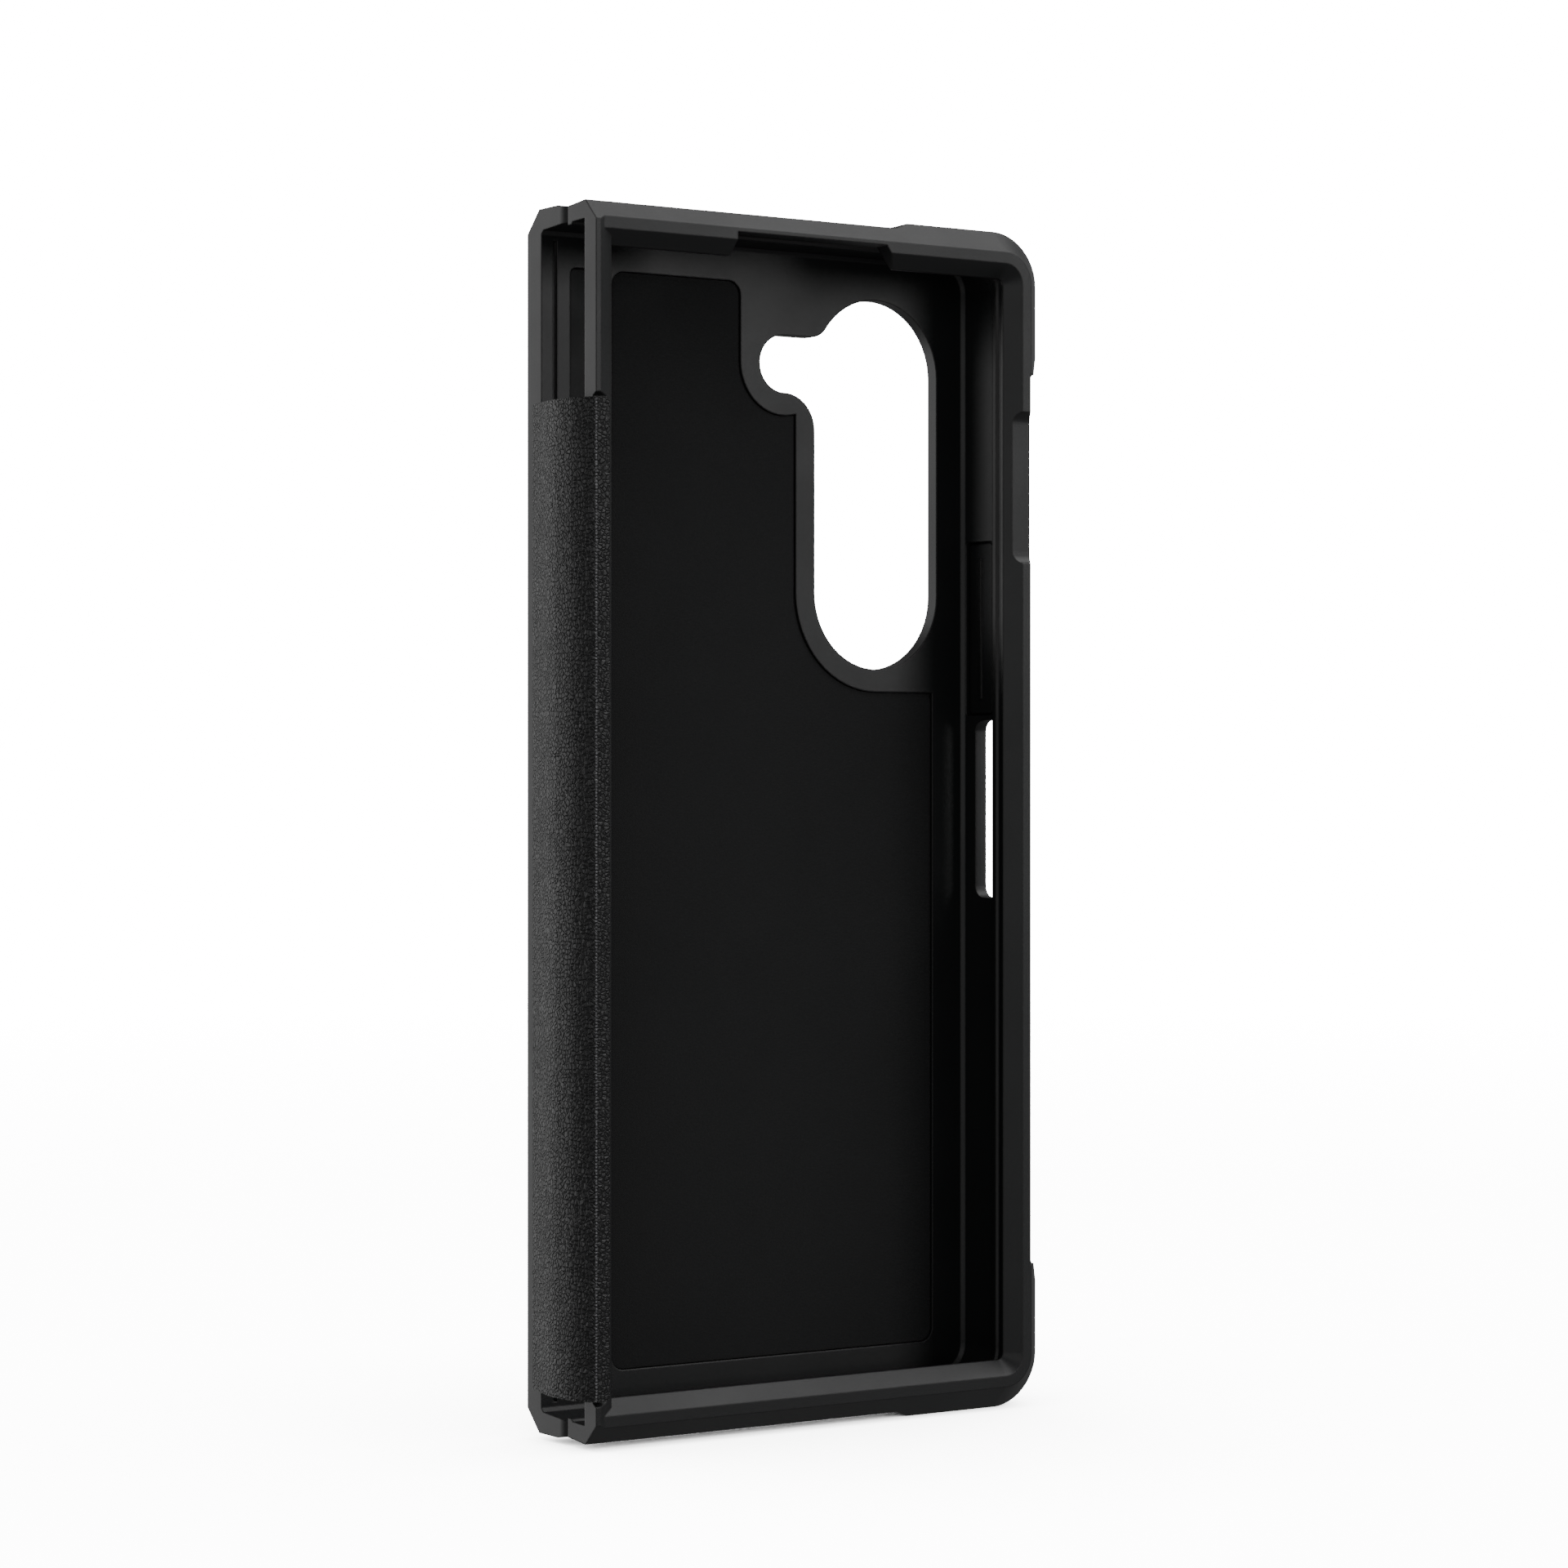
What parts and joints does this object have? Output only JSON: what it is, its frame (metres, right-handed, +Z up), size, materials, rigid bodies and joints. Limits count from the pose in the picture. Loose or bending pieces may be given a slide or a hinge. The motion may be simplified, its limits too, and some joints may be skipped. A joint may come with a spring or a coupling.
{
  "type": "hinged folding phone case",
  "caption": "Two-part bumper case for a book-style folding phone: open front frame, rear tray with camera cut-out, leather hinge spine and sprung side key.",
  "frame": {"origin": "middle of the case's width and thickness, at the base of the bottom bumpers, folded shut", "axes": "+Z up along the case's height, +Y towards its back with the camera cut-out, the hinge end towards -X"},
  "size_m": [0.0756, 0.0174, 0.1618],
  "materials": {
    "shell": "fine matt soft-touch",
    "back_leather": "pebbled, semi-matt",
    "spine_leather": "pebbled, semi-matt",
    "spine_lining": "brushed",
    "lining": "suede-like microfibre",
    "pad": "matt",
    "ring": "satin",
    "key": "matt",
    "adhesive": "clear film"
  },
  "bodies": {
    "rear_tray": {"rear_shell": "shell", "leather_back_panel": "back_leather", "back_panel_adhesive": "adhesive", "camera_ring": "ring", "inner_lining": "lining", "hinge_pad": "pad", "spine_root": "spine_leather"},
    "volume_button": {"volume_key": "key"},
    "front_cover": {"front_frame": "shell", "adhesive_strip_top_inner": "adhesive", "adhesive_strip_top_outer": "adhesive", "adhesive_strip_bottom": "adhesive", "adhesive_strip_side": "adhesive", "adhesive_strip_bar": "adhesive", "spine_flap": "spine_leather", "flap_adhesive": "adhesive"},
    "spine_leaf_rear": {"spine_leather_rear": "spine_leather", "spine_lining_rear": "spine_lining"},
    "spine_leaf_front": {"spine_leather_front": "spine_leather", "spine_lining_front": "spine_lining"}
  },
  "joints": [
    {"name": "main_hinge", "type": "hinge", "parent": "rear_tray", "child": "front_cover", "pos_m": [-0.03655, -0.0015, 0.0803], "axis": [0, 0, -1], "range_deg": [0, 180]},
    {"name": "spine_fold_rear", "type": "hinge", "parent": "rear_tray", "child": "spine_leaf_rear", "pos_m": [-0.036, 0.00665, 0.0718], "axis": [0, 0, -1], "range_deg": [0, 166.5]},
    {"name": "spine_fold_front", "type": "hinge", "parent": "front_cover", "child": "spine_leaf_front", "pos_m": [-0.036, -0.0083, 0.0718], "axis": [0, 0, 1], "range_deg": [0, 168.9]},
    {"name": "volume_press", "type": "slide", "parent": "rear_tray", "child": "volume_button", "axis": [-1, 0, 0], "range_m": [0, 0.0004], "stiffness_N_per_m": 400, "springref_m": -0.001}
  ],
  "couplings": [
    {"joint": "spine_fold_rear", "follows": "main_hinge", "ratio": 0.925},
    {"joint": "spine_fold_front", "follows": "main_hinge", "ratio": 0.9383}
  ]
}
